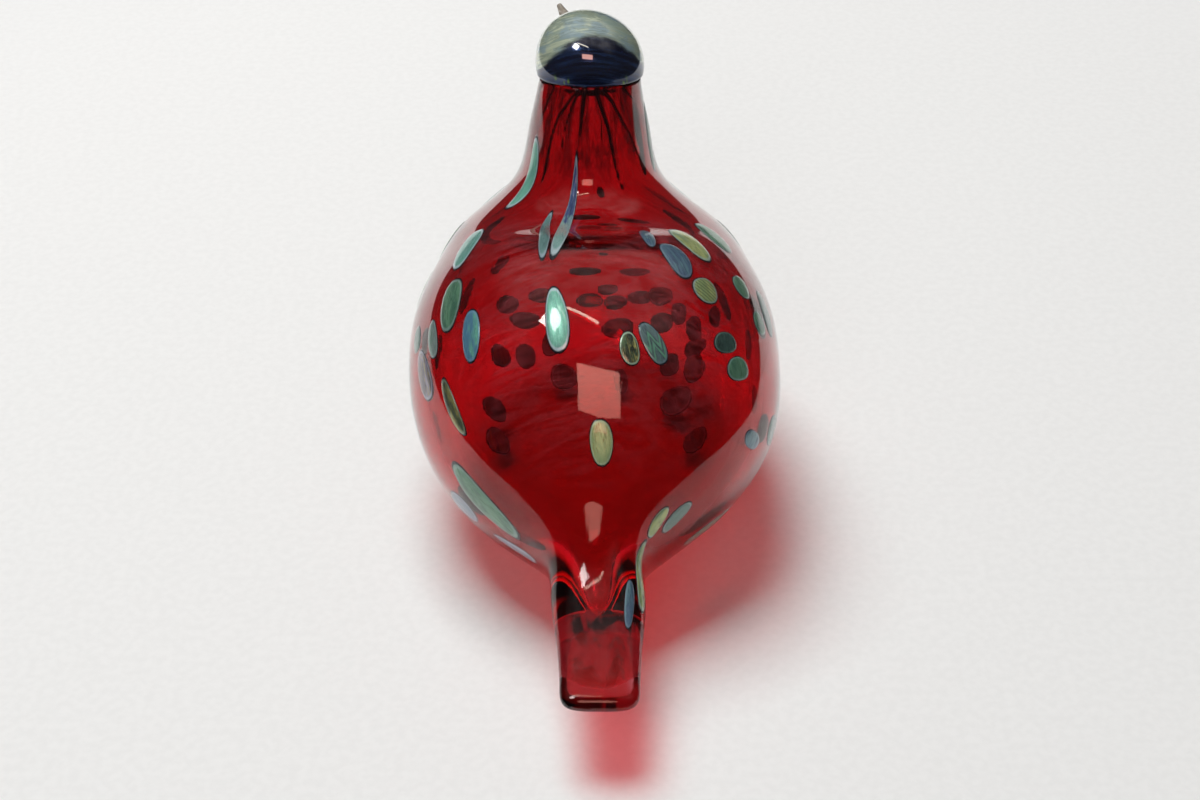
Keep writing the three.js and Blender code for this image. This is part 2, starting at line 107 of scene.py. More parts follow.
def blend(column, station):
    """A uniform cubic B-spline through one value of the stations."""
    values = STATIONS[:, column]
    ends = 2 * values[:1] - values[1:2], 2 * values[-1:] - values[-2:-1]
    values = np.concatenate([ends[0], values, ends[1]])
    i = np.minimum(station.astype(int), LAST - 1)
    u = station - i
    shares = (1 - u) ** 3, 3 * u**3 - 6 * u**2 + 4, -3 * u**3 + 3 * u**2 + 3 * u + 1, u**3
    return sum(share * values[i + k] for k, share in enumerate(shares)) / 6


def tail_direction():
    """Which way the tail points, as shares of y and z."""
    last = STATIONS[-1] - STATIONS[-2]
    y, z = last[0] + last[2], last[1] + last[3]
    return y / math.hypot(y, z), z / math.hypot(y, z)


TAIL_DIRECTION = tail_direction()


def section_point(station, around, depth=0.0):
    """Points of the sections, drawn in by a depth on all sides.
    Past the last station the tail's end rounds off."""
    station, around = np.broadcast_arrays(np.asarray(station, float), np.asarray(around, float))
    inside = np.clip(station, 0, LAST)
    back_y, back_z, breast_y, breast_z, half, square, twist, lean = (blend(k, inside) for k in range(8))
    round_off = np.sin(np.clip(station - LAST, 0, 1) * np.pi / 2)
    tall = np.hypot(back_y - breast_y, back_z - breast_z)
    up_y, up_z = (back_y - breast_y) / tall, (back_z - breast_z) / tall
    angle, twist = np.radians(around), np.radians(twist)

    def power(value):
        return np.sign(value) * np.abs(value) ** (2 / square)

    rise = (tall / 2 * np.sqrt(1 - round_off**2) - depth) * power(np.cos(angle))
    side = (half * np.maximum(1 - round_off**4, 0) ** 0.25 - depth) * power(np.sin(angle))
    along = side * np.sin(twist) + rise * np.cos(twist)
    x = lean + side * np.cos(twist) - rise * np.sin(twist)
    y = (back_y + breast_y) / 2 + round_off * TAIL_ROUND * TAIL_DIRECTION[0] + up_y * along
    z = (back_z + breast_z) / 2 + round_off * TAIL_ROUND * TAIL_DIRECTION[1] + up_z * along
    return np.stack([x, y, z], -1)


def unit(v):
    """The same directions, each of length one."""
    return v / np.linalg.norm(v, axis=-1, keepdims=True)


def dot(a, b):
    return np.sum(a * b, -1)


def frame_at(station, around):
    """Where places are on the skin, and the directions there: to the tail, round to the left, and out."""
    ds, da = 1e-3, 0.1
    start = np.maximum(station - ds, 0)
    ahead, behind = section_point(station + ds, around), section_point(start, around)
    per_station = (ahead - behind) / (station + ds - start)[..., None]
    per_degree = (section_point(station, around + da) - section_point(station, around - da)) / (2 * da)
    out = unit(np.cross(per_degree, per_station))
    tailward = unit(per_station)
    return section_point(station, around), per_station, per_degree, tailward, np.cross(tailward, out), out


def walk(station, around, heading, distance, count=5):
    """Places reached by walking over the skin.
    The heading is in radians, from the tail towards the bird's left."""
    for _ in range(count):
        _, per_station, per_degree, tailward, leftward, _ = frame_at(station, around)
        left, down = np.sin(heading) * distance / count, np.cos(heading) * distance / count
        turned = left / dot(per_degree, leftward)
        around = around + turned
        down = down - turned * dot(per_degree, tailward)
        station = station + down / np.linalg.norm(per_station, axis=-1)
    return station, around


def ease(value, low, high):
    """Eased from 0 to 1 as the value goes from low to high."""
    share = np.clip((value - low) / (high - low), 0, 1)
    return share * share * (3 - 2 * share)


def over_ground(points, depth=0.0):
    """The same points, kept over the ground flat with a soft edge."""
    lifted = points.copy()
    z = points[..., 2] - depth
    lifted[..., 2] = (z + np.sqrt(z**2 + FLAT_EDGE**2)) / 2 + depth
    return lifted


def inside_point(station, around, depth):
    """Points at a depth in the glass."""
    at = frame_at(station, around)
    share = (ease(station, *NORMALS_FROM) * (1 - ease(station, *NORMALS_TO)))[..., None]
    drawn = section_point(station, around, depth)
    depth = np.broadcast_to(depth, station.shape)
    return over_ground(drawn * (1 - share) + (at[0] - at[5] * depth[..., None]) * share, depth)


def creased(station, around):
    """How far places on the neck are into a crease, from 0 to 1."""
    x, y = station * PER_STATION, ((around + 180) % 360 - 180) * PER_DEGREE
    most = np.zeros_like(x)
    for points, wide in NECK_CREASES:
        line = np.array(points, float) * (PER_STATION, PER_DEGREE)
        reach = np.linalg.norm(np.diff(line, axis=0), axis=1).cumsum()
        before = 0.0
        for (x0, y0), (x1, y1), after in zip(line[:-1], line[1:], reach):
            long = (x1 - x0) ** 2 + (y1 - y0) ** 2
            share = np.clip(((x - x0) * (x1 - x0) + (y - y0) * (y1 - y0)) / long, 0, 1)
            away = np.hypot(x - x0 - share * (x1 - x0), y - y0 - share * (y1 - y0))
            along = (before + share * (after - before)) / reach[-1]
            half = wide * (CREASE_START - along)
            most = np.maximum(most, np.exp(-((away / half) ** 2)))
            before = after
    return most


# Meshes


def mesh_object(name, points, faces, smooth=True):
    """A mesh object in the scene, from points in millimetres."""
    mesh = bpy.data.meshes.new(name)
    mesh.from_pydata((np.asarray(points) * MM).tolist(), [], faces)
    mesh.validate()
    mesh.shade_smooth() if smooth else mesh.shade_flat()
    made = bpy.data.objects.new(name, mesh)
    bpy.context.scene.collection.objects.link(made)
    return made


def tube_faces(rings, sides, first=0, flip=False):
    """Quads between rings of points that follow one another."""
    faces = []
    for i in range(rings - 1):
        for j in range(sides):
            a, b = first + i * sides + j, first + i * sides + (j + 1) % sides
            face = (a, b, b + sides, a + sides)
            faces.append(face[::-1] if flip else face)
    return faces


def fan_faces(pole, first, sides, flip=False):
    """Triangles from a pole to a ring."""
    faces = [(pole, first + (j + 1) % sides, first + j) for j in range(sides)]
    return [face[::-1] for face in faces] if flip else faces


def cup(name, outer, outer_end, inner, inner_end):
    """A closed shell: an outer skin and an inner one, each from the mouth to its end.
    They are joined round the mouth."""
    sides = outer.shape[1]
    inner_first = len(outer) * sides
    poles = inner_first + len(inner) * sides
    points = np.concatenate([outer.reshape(-1, 3), inner.reshape(-1, 3), [outer_end, inner_end]])
    faces = tube_faces(len(outer), sides)
    faces += fan_faces(poles, inner_first - sides, sides, True)
    faces += tube_faces(len(inner), sides, inner_first, True)
    faces += fan_faces(poles + 1, poles - sides, sides)
    for j in range(sides):
        k = (j + 1) % sides
        faces.append((k, j, inner_first + j, inner_first + k))
    return mesh_object(name, points, faces)


def grid(stations, sides):
    """Each station with each of the angles round it."""
    around = np.arange(sides) * 360 / sides
    return np.meshgrid(stations, around, indexing="ij")


SIDES = 200
SKIN_ROWS, CORE_ROWS, NECK_ROWS, BUBBLE_ROWS = 151, 150, 56, 100
NECK_ROWS_END = 3.6  # the bubble's rows are closer up to this station, for the creases
ROUND_ROWS = 12  # rows of the core's rounded end
PINCH_UP, PINCH_ACROSS = 0.35, 0.5  # powers of how the bubble's end narrows
TIP_SHARES = [0.1, 0.2, 0.3, 0.4, 0.5, 0.6, 0.7, 0.78, 0.85, 0.9, 0.94, 0.97, 0.99]


def skin_rings():
    """The outside of the glass, and the point at the end of the tail."""
    stations = np.concatenate([np.linspace(0, LAST, SKIN_ROWS), LAST + np.array(TIP_SHARES)])
    rings = over_ground(section_point(*grid(stations, SIDES)))
    end = section_point(LAST + 1.0, 0.0)
    return rings, end


def pinched(rings, share):
    """Rings drawn in towards their middles, less across than up, as the bubble is where it ends."""
    middle = rings.mean(1, keepdims=True)
    share = np.clip(share, 0, 1)[:, None, None]
    drawn = middle + (rings - middle) * share**PINCH_UP
    drawn[..., 0] = (middle + (rings - middle) * share**PINCH_ACROSS)[..., 0]
    return drawn


def core_rings():
    """The outside of the red core. It lies close on the bubble's end, and fills the tail."""
    shares = np.sin(np.linspace(0, np.pi / 2, ROUND_ROWS))[:-1]
    rounded = CORE_ROUNDS + shares * (LAST - CORE_ROUNDS)
    stations = np.concatenate([np.linspace(0.01, CORE_ROUNDS, CORE_ROWS)[:-1], rounded])
    station, around = grid(stations, SIDES)
    depth = RUBY_DEPTH + (TAIL_RUBY_DEPTH - RUBY_DEPTH) * ease(station, *RUBY_FILLS)
    rings = inside_point(station, around, depth)
    narrow = (CLOSE_ENDS - stations) / (CLOSE_ENDS - BUBBLE_NARROWS)
    close = pinched(inside_point(station, around, CLOSE_DEPTH), narrow)
    share = (ease(stations, *RUBY_CLOSES) * (1 - ease(stations, *RUBY_OPENS)))[:, None, None]
    rings = rings * (1 - share) + close * share
    middle = rings.mean(1, keepdims=True)
    share = np.clip((stations - CORE_ROUNDS) / (LAST - CORE_ROUNDS), 0, 1)[:, None, None]
    forth = share * (RUBY_DEPTH - TAIL_RUBY_DEPTH) * np.array([0, *TAIL_DIRECTION])
    rings = middle + (rings - middle) * np.sqrt(1 - share**2) + forth
    end = inside_point(*grid(np.array([float(LAST)]), SIDES), RUBY_DEPTH).mean((0, 1))
    return rings, end + (RUBY_DEPTH - TAIL_RUBY_DEPTH) * np.array([0, *TAIL_DIRECTION])


def bubble_rings(gap=0.0, first=0.0):
    """The wall of the air bubble, with the creases of the neck. It narrows to a point in the tail's
    root."""
    rows = np.linspace(first, NECK_ROWS_END, NECK_ROWS)[:-1]
    stations = np.concatenate([rows, np.linspace(NECK_ROWS_END, BUBBLE_ENDS - 0.01, BUBBLE_ROWS)])
    station, around = grid(stations, SIDES)
    crease = creased(station, around)
    rings = inside_point(station, around, BUBBLE_DEPTH + CREASE_HEIGHT * crease)
    drawn = pinched(rings, (BUBBLE_ENDS - stations) / (BUBBLE_ENDS - BUBBLE_NARROWS))
    if gap:
        drawn = drawn + unit(drawn - drawn.mean(1, keepdims=True)) * gap
    end = inside_point(*grid(np.array([BUBBLE_ENDS]), SIDES), BUBBLE_DEPTH).mean((0, 1))
    return drawn, end, crease


# Shader sums


class Sum:
    """A node's output, so that sums of values over a surface are written plainly."""

    def __init__(self, finish, socket):
        self.finish, self.socket = finish, socket

    def maths(self, operation, *values):
        return self.finish.node("ShaderNodeMath", {"operation": operation}, dict(enumerate(values)))

    def __add__(self, other):
        return self.maths("ADD", self, other)

    def __sub__(self, other):
        return self.maths("SUBTRACT", self, other)

    def __mul__(self, other):
        return self.maths("MULTIPLY", self, other)

    def __pow__(self, other):
        return self.maths("POWER", self, other)

    def __rsub__(self, other):
        return self.maths("SUBTRACT", other, self)

    __radd__ = __add__
    __rmul__ = __mul__

    def most(self, other):
        return self.maths("MAXIMUM", self, other)

    def size(self):
        return self.maths("ABSOLUTE", self)

    def folded(self, wide):
        """A zigzag that climbs to a width and comes back."""
        return self.maths("PINGPONG", self, wide)

    def between(self, low, high, to_low=0.0, to_high=1.0):
        """Eased from one value to another as this goes from low to high."""
        settings = {"interpolation_type": "SMOOTHSTEP", "clamp": True}
        sockets = {"Value": self, "From Min": low, "From Max": high, "To Min": to_low, "To Max": to_high}
        return self.finish.node("ShaderNodeMapRange", settings, sockets)


class Finish:
    """A material, or the world, and its nodes."""

    def __init__(self, name, world=False):
        self.data = bpy.data.worlds.new(name) if world else bpy.data.materials.new(name)
        self.data.use_nodes = True
        self.tree = self.data.node_tree
        self.tree.nodes.clear()
        self.output = self.tree.nodes.new("ShaderNodeOutputWorld" if world else "ShaderNodeOutputMaterial")

    def node(self, kind, settings=None, sockets=None, output=0):
        """A node of a type, with its settings, then its sockets' values or links.
        Gives one of its outputs."""
        made = self.tree.nodes.new(kind)
        for name, value in (settings or {}).items():
            setattr(made, name, value)
        for name, value in (sockets or {}).items():
            self.feed(made.inputs[name], value)
        return Sum(self, made.outputs[output])

    def feed(self, socket, value):
        """Link a sum to a socket, or set the socket's own value."""
        if isinstance(value, Sum):
            self.tree.links.new(value.socket, socket)
        elif isinstance(value, tuple) and len(value) == 3 and socket.type == "RGBA":
            socket.default_value = (*value, 1)
        else:
            socket.default_value = value

    def noise(self, place, scale, detail=3.0, roughness=0.5, distortion=0.0):
        sockets = {"Vector": place, "Scale": scale, "Detail": detail}
        sockets |= {"Roughness": roughness, "Distortion": distortion}
        return self.node("ShaderNodeTexNoise", None, sockets)

    def vector(self, x, y, z):
        return self.node("ShaderNodeCombineXYZ", None, {0: x, 1: y, 2: z})

    def parts(self, vector):
        split = self.node("ShaderNodeSeparateXYZ", None, {0: vector}).socket.node
        return [Sum(self, socket) for socket in split.outputs]

    def stretched(self, place, x, y, z):
        return self.node("ShaderNodeVectorMath", {"operation": "MULTIPLY"}, {0: place, 1: (x, y, z)})

    def mix(self, share, first, second):
        """One colour over another."""
        return self.node("ShaderNodeMix", {"data_type": "RGBA"}, {0: share, 6: first, 7: second}, 2)

    def attribute(self, name, output="Vector"):
        return self.node("ShaderNodeAttribute", {"attribute_name": name}, None, output)

    def position(self):
        """Place on the part in millimetres."""
        place = self.node("ShaderNodeNewGeometry", None, None, "Position")
        return self.stretched(place, 1 / MM, 1 / MM, 1 / MM)

    def bump(self, height, strength, distance):
        sockets = {"Strength": strength, "Distance": distance * MM, "Height": height}
        return self.node("ShaderNodeBump", None, sockets)

    def show(self, surface, volume=None):
        self.feed(self.output.inputs["Surface"], surface)
        if volume is not None:
            self.feed(self.output.inputs["Volume"], volume)
        return self.data


def rgb(red, green, blue):
    """A colour as it shows on a screen, from 0 to 255, in the shader's own measure."""
    shown = [value / 255 for value in (red, green, blue)]
    return tuple(v / 12.92 if v < 0.04045 else ((v + 0.055) / 1.055) ** 2.4 for v in shown)


# Light taken in a millimetre of ruby glass, for red, green and blue
RUBY_TAKEN = (0.06, 0.62, 0.52)
CASING_SHARE = 0.3  # of the ruby's strength that the outer glass has
RUBY_SHARE = 1.4
LAMP_TINT = (0.88, 0.43, 0.43)  # what each face of the casing lets through, for the ruby inside it
GLASS_IOR = 1.52
# On the ruby glass: the haze, which is partly milky glass and partly a painted reflection of the room; the
# dark of creases; and the dark base and the colours of a painted glow at the tail's root and in the tail,
# which stands in for light caught in the ruby
HAZE_AND_PAINTED_REFLECTION, CREASE_DARK, PAINTED_GLOW_BASE = rgb(176, 166, 168), rgb(34, 0, 4), rgb(60, 0, 4)
PAINTED_GLOW_ROOT, PAINTED_GLOW_TAIL = rgb(232, 36, 34), rgb(170, 34, 42)


def absorption(finish, share):
    """The red of the glass, at a share of the ruby's strength."""
    taken = [share * t / MM for t in RUBY_TAKEN]
    density = max(taken)
    colour = tuple(1 - t / density for t in taken)
    return finish.node("ShaderNodeVolumeAbsorption", None, {"Color": colour, "Density": density})


def clear_glass():
    """Clear skin, tinted by the ruby under it. It has the faint waves of hand work, and fine lines
    where the tail was drawn out."""
    finish = Finish("clear_glass")
    place = finish.position()
    _, y, _ = finish.parts(place)
    waves = finish.noise(finish.stretched(place, 1.0, 0.5, 0.8), 0.035, 2.0)
    strain = finish.noise(finish.stretched(place, 1.0, 0.12, 0.12), 0.5, 3.0)
    drawn = finish.noise(finish.stretched(place, 1.6, 0.04, 0.04), 1.0, 3.0) * y.between(58.0, 72.0)
    height = waves + 0.06 * strain + 0.1 * drawn
    glass = finish.node("ShaderNodeBsdfPrincipled", None, {
        "Base Color": (1.0, 0.96, 0.96),
        "Roughness": 0.0,
        "IOR": GLASS_IOR,
        "Transmission Weight": 1.0,
        "Coat Weight": y.between(50.0, 62.0, 0.6, 0.0),
        "Coat Roughness": 0.0,
        "Normal": finish.bump(height, 0.35, 0.6),
    })
    clear = finish.node("ShaderNodeBsdfTransparent", None, {"Color": LAMP_TINT})
    path = finish.node("ShaderNodeLightPath", None, None, "Is Shadow Ray")
    surface = finish.node("ShaderNodeMixShader", None, {0: path, 1: glass, 2: clear})
    return finish.show(surface, absorption(finish, CASING_SHARE))


def ruby_glass():
    """Red layer inside the clear skin. It touches the skin all over, so its faces bend no light. It shows
    creases and dark runs in the neck, a milky haze over the back that is partly a painted reflection of the
    room, and a painted glow in the tail's folds and in the tail that stands in for light caught in the
    ruby."""
    finish = Finish("ruby_glass")
    place = finish.position()
    x, y, z = finish.parts(place)
    crease = finish.attribute("crease", "Fac")
    ragged = finish.noise(place, 1.1, 3.0)
    line = (crease + 0.25 * (ragged - 0.5)).between(0.3, 0.72)
    neck = z.between(88.0, 100.0) * y.between(-12.0, -4.0, 1.0, 0.0)
    runs = finish.noise(finish.vector(0.42 * x, 0.3 * y, 0.035 * z), 1.0, 3.0, 0.6, 0.4).between(0.46, 0.64)
    dark = (line * 0.92).most(runs * neck * 0.5)
    # Haze over the back: partly milky streaks in the glass and partly a painted reflection of the room.
    sweep = finish.noise(finish.vector(0.045 * x, 0.3 * y, 0.14 * z + 0.05 * x), 1.0, 5.0, 0.65, 1.6)
    cloud = finish.noise(finish.stretched(place, 1.0, 0.6, 0.6), 0.03, 2.0)
    top = z.between(45.0, 78.0) * (1 - z.between(93.0, 104.0)) * y.between(-14.0, -2.0)
    milk_and_painted_reflection = sweep.between(0.38, 0.64) * cloud.between(0.3, 0.52) * (0.1 + 0.9 * top) * 0.36
    # Painted glow: emission in the folds at the tail's root and in patches in the tail stands in for light
    # caught and focused in the ruby, over a dark red base.
    facing = finish.node("ShaderNodeLayerWeight", None, {"Blend": 0.5}, "Facing")
    root, tail = y.between(56.0, 68.0) * (1 - y.between(90.0, 96.0)), y.between(88.0, 98.0)
    painted_caught_light = finish.noise(finish.vector(0.16 * x, 0.07 * y, 0.1 * z), 1.0, 3.0, 0.5, 0.5)
    painted_caught_light = painted_caught_light.between(0.44, 0.56)
    fold = facing.between(0.62, 0.9) * (root * 0.85 + tail * 0.5)
    glow = fold.most(painted_caught_light * tail * 0.34)
    colour = finish.mix(dark.between(0.02, 0.1), HAZE_AND_PAINTED_REFLECTION, CREASE_DARK)
    colour = finish.mix(glow.between(0.02, 0.2), colour, PAINTED_GLOW_BASE)
    painted_glow_colour = finish.mix(tail, PAINTED_GLOW_ROOT, PAINTED_GLOW_TAIL)
    skin = finish.node("ShaderNodeBsdfPrincipled", None, {
        "Base Color": colour,
        "Roughness": 0.3,
        "Alpha": dark.most(milk_and_painted_reflection).most(glow),
        "Emission Color": finish.mix(glow.between(0.02, 0.2), (0.0, 0.0, 0.0), painted_glow_colour),
        "Emission Strength": 1.0,
    })
    return finish.show(skin, absorption(finish, RUBY_SHARE))


CHIP_OUTLINE = rgb(24, 28, 40)
ZIGZAG_GREEN = rgb(104, 168, 132)


def lustre(
    name,
    first,
    second,
    vein,
    pale,
    lines=0.5,
    zigzag=0.0,
    stripes=0.0,
    halves=0.0,
    lengthwise=0.0,
    pale_rim=0.7,
):
    """Shiny metal-oxide glass of a chip. Streaks and veins run along it, inside a thin pale border and
    a dark line. halves parts its two colours down the middle and lengthwise across it. zigzag and
    stripes are folded veins."""
    finish = Finish(name)
    along, across, rim = finish.parts(finish.attribute("oval"))
    seed = finish.attribute("seed", "Fac")
    shift = 37.0 * seed
    fine = finish.noise(finish.vector(0.16 * along + shift, 1.5 * across, shift), 1.0, 4.0, 0.6, 0.6)
    wide_place = finish.vector(0.13 * along + shift, 0.42 * across, 5.0 + shift)
    broad = finish.noise(wide_place, 1.0, 2.0, 0.5, 0.4)
    grain = finish.noise(finish.vector(along, 1.6 * across, shift), 3.0, 3.0)
    field = broad + 0.4 * (fine - 0.5) + 0.3 * (seed - 0.5) + halves * across + lengthwise * along
    body = finish.mix(field.between(0.4, 0.6), first, second)
    thread = (1 - (fine - 0.5).size() * 16).between(0.3, 0.9)
    patch = finish.noise(finish.vector(0.1 * along, 0.5 * across, 9.0 + shift), 1.0, 2.0).between(0.4, 0.58)
    body = finish.mix(thread * patch * lines, body, vein)
    if zigzag:
        teeth = (across + 0.5 * (fine - 0.5) + 4.3).folded(1.5) * 3.4
        fold = (along + teeth + 1.6 + 1.5 * (broad - 0.5)).folded(5.0)
        body = finish.mix((1 - (fold - 3.4).size() * 0.9).between(0.1, 0.6) * zigzag, body, ZIGZAG_GREEN)
        body = finish.mix((1 - (fold - 4.6).size() * 2.5).between(0.2, 0.8) * zigzag * 0.8, body, vein)
        body = finish.mix((1 - (fold - 2.1).size() * 2.5).between(0.2, 0.8) * zigzag * 0.8, body, vein)
    if stripes:
        slant = (0.75 * along + 0.8 * across + 0.5 * (fine - 0.5)).folded(0.55)
        body = finish.mix((1 - slant * 4).between(0.1, 0.7) * stripes, body, vein)
    body = finish.mix((grain - 0.5).between(-0.1, 0.3, 0.0, 0.3), body, pale)
    edge = rim + 0.04 * (grain - 0.5)
    body = finish.mix(edge.between(0.8, 0.86) * pale_rim, body, pale)
    body = finish.mix(edge.between(0.9, 0.95), body, CHIP_OUTLINE)
    shine = finish.node("ShaderNodeBsdfPrincipled", None, {
        "Base Color": body,
        "Metallic": 0.3,
        "Roughness": fine.between(0.2, 0.8, 0.22, 0.4),
        "Coat Weight": 0.8,
        "Coat Roughness": 0.02,
        "Coat IOR": 1.6,
        "Normal": finish.bump(fine + 0.3 * grain, 0.5, 0.08),
    })
    return finish.show(shine)


# Each look's two colours, its veins' colour and its pale border's, as they show on a screen, and then
# what else sets it apart
SPOT_FINISHES = {
    "teal": ((116, 190, 166), (92, 160, 146), (60, 112, 104), (204, 214, 226), {}),
    "green": ((96, 142, 112), (66, 112, 90), (34, 58, 48), (138, 164, 156), {}),
    "moss": ((176, 186, 118), (124, 152, 104), (70, 72, 44), (170, 190, 180), dict(lines=0.9)),
    "blue": ((84, 108, 132), (98, 134, 142), (46, 60, 82), (118, 138, 158), dict(lines=0.8)),
    "grey": ((128, 146, 142), (96, 128, 116), (62, 74, 72), (150, 164, 164), {}),
    "lilac": ((160, 166, 184), (120, 140, 156), (90, 86, 104), (184, 188, 200), {}),
    "violet": ((140, 134, 158), (96, 88, 98), (166, 150, 74), (176, 178, 194), dict(lines=1.0)),
    "bronze": ((164, 156, 92), (66, 80, 58), (20, 24, 20), (130, 142, 120), dict(lines=1.0)),
    "navy_top": ((52, 74, 128), (136, 176, 170), (60, 84, 110), (190, 204, 212), dict(lengthwise=0.05)),
    "pale_pair": ((126, 158, 158), (104, 142, 138), (50, 74, 84), (160, 176, 190), dict(lines=0.8)),
    "blue_teal": ((112, 182, 160), (84, 132, 158), (46, 78, 110), (120, 156, 186), dict(halves=0.1)),
    "zigzag": ((84, 104, 112), (102, 128, 128), (28, 40, 44), (120, 140, 150), dict(zigzag=0.9)),
    "flame": ((22, 30, 24), (80, 108, 74), (196, 190, 110), (170, 196, 170), dict(lines=1.0, pale_rim=0.9)),
    "striped": ((178, 188, 118), (146, 166, 108), (60, 68, 44), (150, 168, 170), dict(stripes=0.85)),
    "gold_streaked": ((172, 190, 132), (140, 166, 116), (120, 104, 40), (190, 204, 170), dict(lines=1.0)),
    "mottled": ((60, 84, 78), (78, 112, 90), (20, 30, 30), (110, 134, 126), dict(lines=1.0)),
}
# Chips that have a look of their own, by number
CHIP_LOOKS = {
    2: "navy_top",
    3: "pale_pair",
    7: "blue_teal",
    15: "gold_streaked",
    16: "flame",
    17: "zigzag",
    21: "striped",
    26: "mottled",
    30: "moss",
}


SAGE, SAGE_PALE, SAGE_BLUE = rgb(156, 176, 166), rgb(206, 216, 188), rgb(142, 170, 186)
SAGE_LINES, NAVY, NAVY_PALE = rgb(112, 122, 100), rgb(14, 20, 54), rgb(44, 74, 122)
HEAD_TICKS, HEAD_RIM = rgb(96, 124, 60), rgb(34, 40, 38)
BEAK_TAN, BEAK_PALE, BEAK_ROOT = rgb(176, 164, 150), rgb(206, 198, 186), rgb(110, 118, 112)


def head_finish():
    """Lustred head: a navy patch at its back, silvery sage streaks round it whose paleness is partly a
    painted reflection of the room above, a dark rim and a few green ticks."""
    finish = Finish("head_glass")
    place = finish.attribute("turned")
    x, y, height = finish.parts(place)
    banded = finish.vector(0.07 * x, 0.07 * y, 1.1 * height + 0.03 * x * x)
    bands = finish.noise(banded, 1.0, 5.0, 0.65, 0.8)
    cloud = finish.noise(finish.vector(0.16 * x, 0.16 * y, 0.26 * height), 1.0, 3.0)
    grain = finish.noise(place, 2.2, 3.0)
    ticks = finish.noise(finish.vector(0.55 * x, 0.55 * y, 0.12 * height), 1.0, 2.0)
    # The pale sage of the upper head is partly its own lustre and partly a painted reflection of the pale
    # room above it.
    sage = finish.mix(bands.between(0.36, 0.64), SAGE, SAGE_PALE)
    sage = finish.mix(cloud.between(0.46, 0.64) * 0.7, sage, SAGE_BLUE)
    sage = finish.mix((1 - (bands - 0.5).size() * 18).between(0.3, 0.9) * 0.4, sage, SAGE_LINES)
    navy = finish.mix(bands.between(0.42, 0.72), NAVY, NAVY_PALE)
    aside = x + 1.5
    arch = height + 0.046 * aside * aside - 3.0 * y.between(-2.0, 10.0)
    low = arch + 3.0 * (cloud - 0.5) + 1.2 * (bands - 0.5)
    low = low - 3.5 * (1 - height.between(2.0, 6.0)) * y.between(-4.0, 4.0)
    upper = low.between(10.6, 12.6)
    body = finish.mix(upper, navy, sage)
    body = finish.mix(ticks.between(0.62, 0.68) * (1 - height.between(2.2, 4.2)), body, HEAD_TICKS)
    rim = (height + 0.5 * (grain - 0.5)).between(0.5, 1.1)
    body = finish.mix(rim, HEAD_RIM, body)
    shine = finish.node("ShaderNodeBsdfPrincipled", None, {
        "Base Color": body,
        "Metallic": upper.between(0.0, 1.0, 0.6, 0.25),
        "Roughness": bands.between(0.2, 0.8, 0.1, 0.24),
        "Coat Weight": height.between(1.0, 6.0, 0.1, 1.0),
        "Coat Roughness": 0.02,
        "Coat IOR": 2.3,
        "Normal": finish.bump(bands + 0.2 * grain, 0.3, 0.1),
    })
    return finish.show(shine)


def beak_finish():
    """Brownish tan lustre of the beak, greyer where it leaves the head."""
    finish = Finish("beak_glass")
    x, y, along = finish.parts(finish.attribute("turned"))
    streaks = finish.noise(finish.vector(1.2 * x, 1.2 * y, 0.25 * along), 1.0, 4.0, 0.6)
    tan = finish.mix(streaks.between(0.35, 0.65), BEAK_TAN, BEAK_PALE)
    body = finish.mix((along + 2 * (streaks - 0.5)).between(15.0, 19.0), BEAK_ROOT, tan)
    shine = finish.node("ShaderNodeBsdfPrincipled", None, {
        "Base Color": body,
        "Metallic": 0.4,
        "Roughness": streaks.between(0.2, 0.8, 0.16, 0.32),
        "Coat Weight": 0.8,
        "Coat Roughness": 0.03,
        "Normal": finish.bump(streaks, 0.35, 0.08),
    })
    return finish.show(shine)


# The pieces


def give(piece, material, slot, *nodes):
    """Give a piece its material and its place in the part."""
    piece.data.materials.append(material)
    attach(piece, "root")
    if nodes:
        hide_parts(*nodes)


skin, skin_end = skin_rings()
bubble, bubble_end, _ = bubble_rings()
casing = cup("clear_casing", skin, skin_end, bubble, bubble_end)
give(casing, clear_glass(), "clear_glass", "glass_casing")

core, core_end = core_rings()
wall, wall_end, crease = bubble_rings(BUBBLE_GAP, 0.01)
lining = cup("ruby_core", core, core_end, wall, wall_end)
marked = np.concatenate([np.zeros(core.shape[0] * SIDES), crease.ravel(), [0, 0]])
lining.data.attributes.new("crease", "FLOAT", "POINT").data.foreach_set("value", marked)
lining.visible_shadow = False  # the casing's tint stands for its shadow
give(lining, ruby_glass(), "ruby_glass", "ruby_lining")


